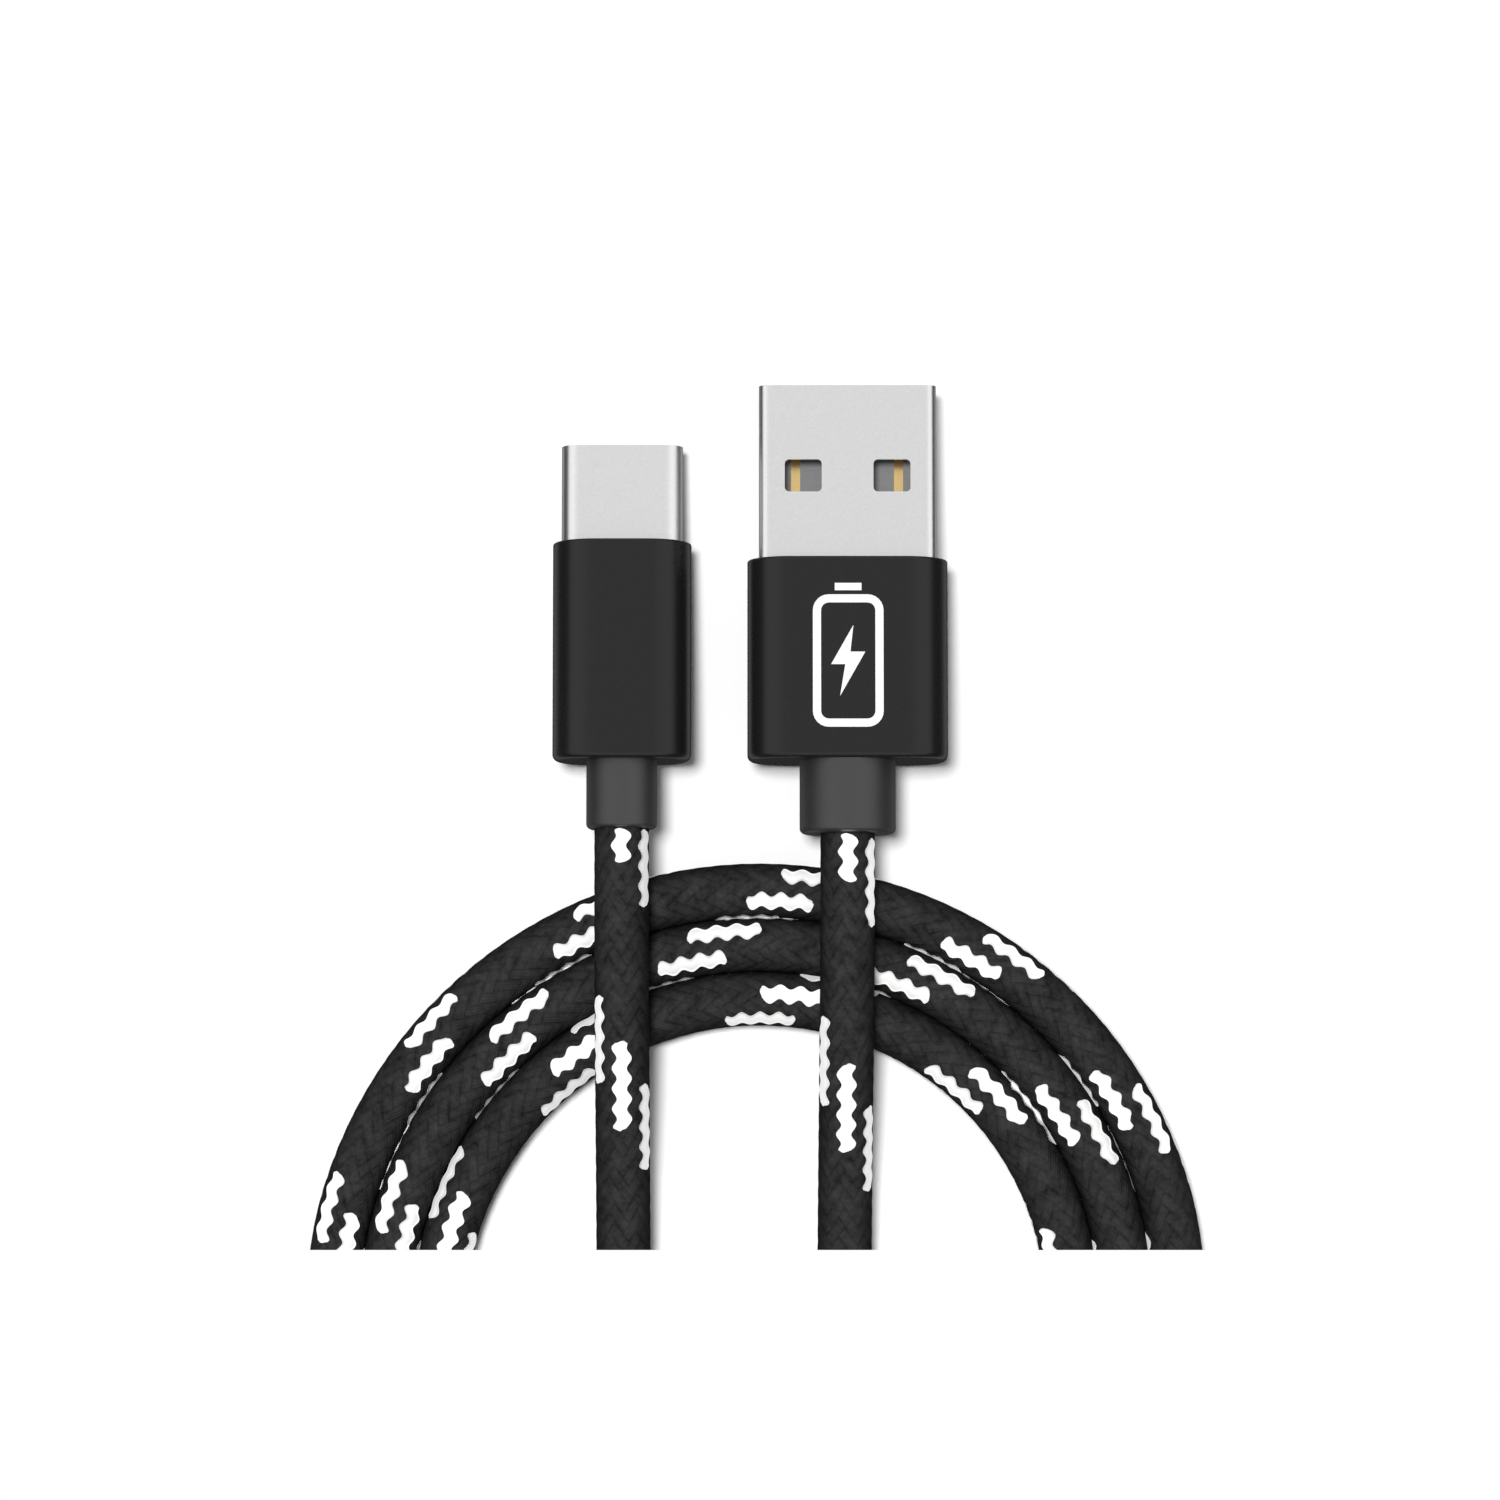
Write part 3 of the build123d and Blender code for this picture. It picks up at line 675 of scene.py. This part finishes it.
MAT_GAP = 0.02  # from the camera to the white mat that hides what lies below the picture's own lower edge
MAT_REACH = 1.2  # of the mat's sides and lower edge, as a share of the half width of the frame there
PICTURE_LOW = 2.0 / 3.0  # the picture's own lower edge, as such a share


def make_mat():
    """A small white card close to the camera. The picture proper ends a sixth of the frame above its lower
    edge, and the frame is plain white below it."""
    half = MAT_GAP * VIEW_WIDTH / (CAMERA_HEIGHT - PLUG_MIDDLE) / 2
    z = CAMERA_HEIGHT - MAT_GAP
    wide = half * MAT_REACH
    top, low = VIEW_CENTRE_Y - half * PICTURE_LOW, VIEW_CENTRE_Y - wide
    corners = [(-wide, low, z), (wide, low, z), (wide, top, z), (-wide, top, z)]
    mat = mesh_object("mat", corners, [(0, 1, 2, 3)])
    paint = Paint("mat_white", colour=(0, 0, 0), roughness=1.0)
    paint.shader.inputs["Emission Color"].default_value = (1, 1, 1, 1)
    paint.shader.inputs["Emission Strength"].default_value = 1.0
    set_material(mat, paint.material)
    for rays in ("diffuse", "glossy", "transmission", "shadow", "volume_scatter"):
        setattr(mat, "visible_" + rays, False)


def make_key():
    """A soft sun, nearly overhead from the upper left. It lights surfaces but isn't mirrored in them."""
    light = bpy.data.lights.new("key", "SUN")
    light.energy = KEY_STRENGTH
    light.angle = math.radians(KEY_ANGLE)
    key = bpy.data.objects.new("key", light)
    bpy.context.scene.collection.objects.link(key)
    key.rotation_euler = Vector(KEY_DIRECTION).to_track_quat("-Z", "Y").to_euler()
    key.visible_glossy = False


# Brightness of the surroundings as mirrored in the object, by height from -1, straight below, to 1, straight
# above
MIRRORED = ((-1.0, 0.03), (-0.93, 0.03), (-0.82, 0.4), (-0.6, 0.4), (-0.42, 0.04), (0.14, 0.04), (0.34, 1.12),
            (0.8, 1.12), (0.97, 0.785))


def make_world():
    """White to the camera, an even fill for diffuse light, and bands of light and dark for reflections."""
    world = bpy.data.worlds.new("studio")
    bpy.context.scene.world = world
    world.use_nodes = True
    tree = world.node_tree
    background = tree.nodes["Background"]
    place = tree.nodes.new("ShaderNodeTexCoord")
    split = tree.nodes.new("ShaderNodeSeparateXYZ")
    tree.links.new(place.outputs["Generated"], split.inputs[0])
    height = tree.nodes.new("ShaderNodeMapRange")
    height.inputs["From Min"].default_value = -1.0
    tree.links.new(split.outputs["Z"], height.inputs["Value"])
    ramp = tree.nodes.new("ShaderNodeValToRGB")
    tree.links.new(height.outputs[0], ramp.inputs[0])
    stops = ramp.color_ramp.elements
    while len(stops) < len(MIRRORED):
        stops.new(0.5)
    for stop, (z, value) in zip(stops, MIRRORED):
        stop.position = (z + 1) / 2
        stop.color = (value, value, value, 1)
    paths = tree.nodes.new("ShaderNodeLightPath")
    colour = ramp.outputs[0]
    for ray, value in (("Is Diffuse Ray", FILL), ("Is Camera Ray", 1.0)):
        mix = tree.nodes.new("ShaderNodeMix")
        mix.data_type = "RGBA"
        tree.links.new(paths.outputs[ray], mix.inputs["Factor"])
        tree.links.new(colour, mix.inputs[6])
        mix.inputs[7].default_value = (value, value, value, 1)
        colour = mix.outputs[2]
    tree.links.new(colour, background.inputs["Color"])


# ---- Make everything

make_camera()
line = CentreLine(spline_points(LEAD_A + coil_points()[::-1] + LEAD_C[::-1]), RING_STEP)
cord = make_cord(line)
set_material(cord, braid_black())
clock = fleck_clock(line)
flecks = [make_flecks(f"cord_flecks_{k + 1}", line, clock, (k, k + 3)) for k in range(3)]
white_yarn = fleck_white()
for piece in flecks:
    set_material(piece, white_yarn)
for piece in [cord, *flecks]:
    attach(piece, "cable")
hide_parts("cable_lead_a", "cable_lead_c", "cable_coil")
paint_nodes()
make_mark()
make_floor()
make_mat()
make_key()
make_world()
bpy.context.scene.view_settings.view_transform = "Standard"
